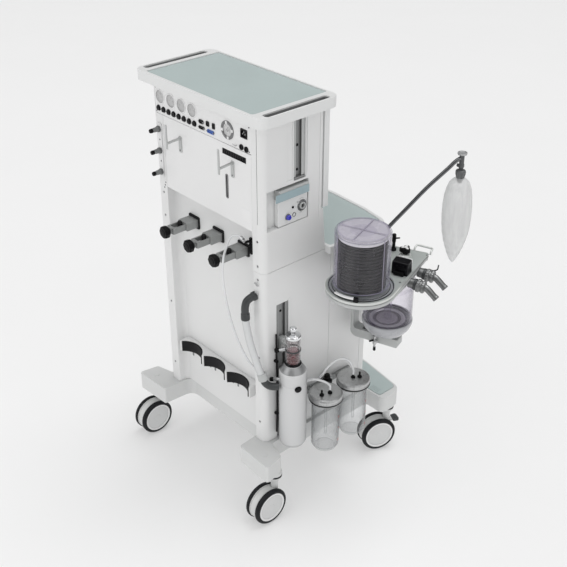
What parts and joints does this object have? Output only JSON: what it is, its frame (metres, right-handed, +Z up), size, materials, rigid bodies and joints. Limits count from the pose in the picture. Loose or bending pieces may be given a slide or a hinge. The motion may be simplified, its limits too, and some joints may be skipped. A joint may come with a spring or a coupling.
{
  "type": "anesthesia machine",
  "caption": "Wheeled anesthesia workstation with cylinder yokes, swing-out breathing system with bellows, bag arm, absorber, suction jars, scavenging receiver and drawers.",
  "frame": {"origin": "on the floor under the middle of the machine's footprint", "axes": "+Z up, -Y towards the operator, +Y out of the rear face with the cylinder yokes, -X towards the side that carries the breathing system"},
  "size_m": [0.9051, 0.8333, 1.353],
  "materials": {
    "white_shell": "satin white powder coat",
    "white_plastic": "fine-textured white moulding",
    "teal_mat": "matt grey-green non-slip sheet",
    "black_plastic": "semi-matt black moulding",
    "grey_metal": "satin anodised grey",
    "bright_metal": "satin bright plating",
    "clear_plastic": "clear moulding with a faint violet cast",
    "jar_glass": "clear moulding with a red scale",
    "black_rubber": "matt black rubber",
    "tyre": "black tyre with a grey disc",
    "bag_silicone": "translucent pale silicone",
    "red_float": "gloss red",
    "blue_knob": "gloss blue",
    "hose_grey": "pale grey smooth hose"
  },
  "bodies": {
    "machine": {"base_frame": "white_shell", "lower_body": "white_shell", "tower_body": "white_shell", "upper_rear_cover": "white_shell", "connector_panel": "white_shell", "pipeline_inlets": "grey_metal", "yoke_1": "grey_metal", "yoke_2": "grey_metal", "yoke_3": "grey_metal", "cylinder_bracket": "white_shell", "top_tray": "white_plastic", "tray_mat": "teal_mat", "worktop": "white_plastic", "worktop_mat": "teal_mat", "outlet_module": "white_plastic", "agss_body": "white_shell", "agss_sight_tube": "clear_plastic", "suction_jar_1": "jar_glass", "suction_jar_2": "jar_glass", "suction_lid_1": "bright_metal", "suction_lid_2": "bright_metal", "jar_bracket": "grey_metal", "scavenging_hose": "hose_grey", "circuit_arm": "white_shell", "control_fascia": "white_plastic", "vaporizer": "white_shell"},
    "circuit": {"circuit_block": "grey_metal", "bellows_dome": "clear_plastic", "bellows": "black_rubber"},
    "bellows_top": {"bellows_disc": "white_plastic"},
    "bag_arm": {"bag_arm": "bright_metal", "breathing_bag": "bag_silicone"},
    "absorber": {"absorber_canister": "clear_plastic", "canister_cradle": "grey_metal"},
    "caster_1": {"caster_fork_1": "white_plastic"},
    "wheel_1": {"caster_wheel_1": "tyre"},
    "caster_2": {"caster_fork_2": "white_plastic"},
    "wheel_2": {"caster_wheel_2": "tyre"},
    "caster_3": {"caster_fork_3": "white_plastic"},
    "wheel_3": {"caster_wheel_3": "tyre"},
    "caster_4": {"caster_fork_4": "white_plastic"},
    "wheel_4": {"caster_wheel_4": "tyre"},
    "brake_1": {"brake_pedal_1": "black_plastic"},
    "brake_2": {"brake_pedal_2": "black_plastic"},
    "yoke_screw_1": {"yoke_knob_1": "black_plastic"},
    "yoke_screw_2": {"yoke_knob_2": "black_plastic"},
    "yoke_screw_3": {"yoke_knob_3": "black_plastic"},
    "outlet_knob": {"outlet_knob": "blue_knob"},
    "float": {"agss_float": "red_float"},
    "needle_valve": {"agss_valve_knob": "bright_metal"},
    "apl_valve": {"apl_knob": "black_plastic"},
    "selector": {"bag_vent_lever": "black_plastic"},
    "drawer_upper": {"drawer_upper": "white_shell"},
    "drawer_lower": {"drawer_lower": "white_shell"},
    "control_dial": {"control_dial": "black_plastic"},
    "system_switch": {"system_switch": "black_plastic"},
    "flow_control_1": {"flow_knob_1": "black_plastic"},
    "flow_control_2": {"flow_knob_2": "black_plastic"},
    "vaporizer_dial": {"vaporizer_dial": "black_plastic"},
    "flush_button": {"flush_button": "white_plastic"}
  },
  "joints": [
    {"name": "caster_swivel_1", "type": "hinge", "parent": "machine", "child": "caster_1", "pos_m": [-0.199, 0.318, 0.15], "axis": [0, 0, 1], "continuous": true},
    {"name": "wheel_spin_1", "type": "hinge", "parent": "caster_1", "child": "wheel_1", "pos_m": [-0.199, 0.354, 0.0625], "axis": [1, 0, 0], "continuous": true},
    {"name": "caster_swivel_2", "type": "hinge", "parent": "machine", "child": "caster_2", "pos_m": [0.421, 0.318, 0.15], "axis": [0, 0, 1], "continuous": true},
    {"name": "wheel_spin_2", "type": "hinge", "parent": "caster_2", "child": "wheel_2", "pos_m": [0.421, 0.354, 0.0625], "axis": [1, 0, 0], "continuous": true},
    {"name": "caster_swivel_3", "type": "hinge", "parent": "machine", "child": "caster_3", "pos_m": [-0.194, -0.21, 0.15], "axis": [0, 0, 1], "continuous": true},
    {"name": "wheel_spin_3", "type": "hinge", "parent": "caster_3", "child": "wheel_3", "pos_m": [-0.18051, -0.17662, 0.0625], "axis": [0.9272, -0.3746, 0], "continuous": true},
    {"name": "caster_swivel_4", "type": "hinge", "parent": "machine", "child": "caster_4", "pos_m": [0.416, -0.21, 0.15], "axis": [0, 0, 1], "continuous": true},
    {"name": "wheel_spin_4", "type": "hinge", "parent": "caster_4", "child": "wheel_4", "pos_m": [0.40668, -0.17523, 0.0625], "axis": [0.9659, 0.2588, 0], "continuous": true},
    {"name": "brake_press_1", "type": "hinge", "parent": "caster_3", "child": "brake_1", "pos_m": [-0.20336, -0.23318, 0.101], "axis": [0.9272, -0.3746, 0], "range_deg": [0, 15]},
    {"name": "brake_press_2", "type": "hinge", "parent": "caster_4", "child": "brake_2", "pos_m": [0.42247, -0.23415, 0.101], "axis": [0.9659, 0.2588, 0], "range_deg": [0, 15]},
    {"name": "yoke_screw_turn_1", "type": "hinge", "parent": "machine", "child": "yoke_screw_1", "pos_m": [0.231, 0.37, 0.885], "axis": [0, 1, 0], "range_deg": [-360, 0]},
    {"name": "yoke_screw_turn_2", "type": "hinge", "parent": "machine", "child": "yoke_screw_2", "pos_m": [0.111, 0.37, 0.885], "axis": [0, 1, 0], "range_deg": [-360, 0]},
    {"name": "yoke_screw_turn_3", "type": "hinge", "parent": "machine", "child": "yoke_screw_3", "pos_m": [-0.009, 0.37, 0.885], "axis": [0, 1, 0], "range_deg": [-360, 0]},
    {"name": "outlet_knob_turn", "type": "hinge", "parent": "machine", "child": "outlet_knob", "pos_m": [-0.1384, 0.208, 1.017], "axis": [-1, 0, 0], "range_deg": [0, 90]},
    {"name": "float_rise", "type": "slide", "parent": "machine", "child": "float", "axis": [0, 0, 1], "range_m": [0, 0.05]},
    {"name": "needle_valve_turn", "type": "hinge", "parent": "machine", "child": "needle_valve", "pos_m": [-0.1945, 0.236, 0.6454], "axis": [0, 0, 1], "range_deg": [0, 360]},
    {"name": "circuit_swing", "type": "hinge", "parent": "machine", "child": "circuit", "pos_m": [-0.17005, -0.12565, 0.765], "axis": [0, 0, 1], "range_deg": [-10, 20]},
    {"name": "bellows_stroke", "type": "slide", "parent": "circuit", "child": "bellows_top", "axis": [0, 0, 1], "range_m": [-0.12, 0], "deforming": ["bellows"]},
    {"name": "bag_arm_swivel", "type": "hinge", "parent": "circuit", "child": "bag_arm", "pos_m": [-0.19374, -0.14939, 0.8154], "axis": [0, 0, 1], "range_deg": [-35, 10]},
    {"name": "apl_valve_turn", "type": "hinge", "parent": "circuit", "child": "apl_valve", "pos_m": [-0.27975, -0.15075, 0.8254], "axis": [0, 0, 1], "range_deg": [0, 270]},
    {"name": "selector_turn", "type": "hinge", "parent": "circuit", "child": "selector", "pos_m": [-0.21597, -0.0672, 0.8274], "axis": [0, 0, 1], "range_deg": [-70, 0]},
    {"name": "absorber_release", "type": "slide", "parent": "circuit", "child": "absorber", "axis": [0, 0, 1], "range_m": [-0.03, 0]},
    {"name": "drawer_upper_open", "type": "slide", "parent": "machine", "child": "drawer_upper", "axis": [0, -1, 0], "range_m": [0, 0.22]},
    {"name": "drawer_lower_open", "type": "slide", "parent": "machine", "child": "drawer_lower", "axis": [0, -1, 0], "range_m": [0, 0.22]},
    {"name": "control_dial_turn", "type": "hinge", "parent": "machine", "child": "control_dial", "pos_m": [0.131, 0.0476, 1.058], "axis": [0, -1, 0], "continuous": true},
    {"name": "system_switch_turn", "type": "hinge", "parent": "machine", "child": "system_switch", "pos_m": [0.179, 0.0476, 1.045], "axis": [0, -1, 0], "range_deg": [-90, 0]},
    {"name": "flow_control_turn_1", "type": "hinge", "parent": "machine", "child": "flow_control_1", "pos_m": [0.251, 0.0476, 1.025], "axis": [0, -1, 0], "range_deg": [0, 360]},
    {"name": "flow_control_turn_2", "type": "hinge", "parent": "machine", "child": "flow_control_2", "pos_m": [0.306, 0.0476, 1.025], "axis": [0, -1, 0], "range_deg": [0, 360]},
    {"name": "vaporizer_dial_turn", "type": "hinge", "parent": "machine", "child": "vaporizer_dial", "pos_m": [0.051, -0.01, 1.0404], "axis": [0, 0, 1], "range_deg": [0, 270]},
    {"name": "flush_press", "type": "slide", "parent": "machine", "child": "flush_button", "axis": [0, 1, 0], "range_m": [0, 0.005]}
  ]
}
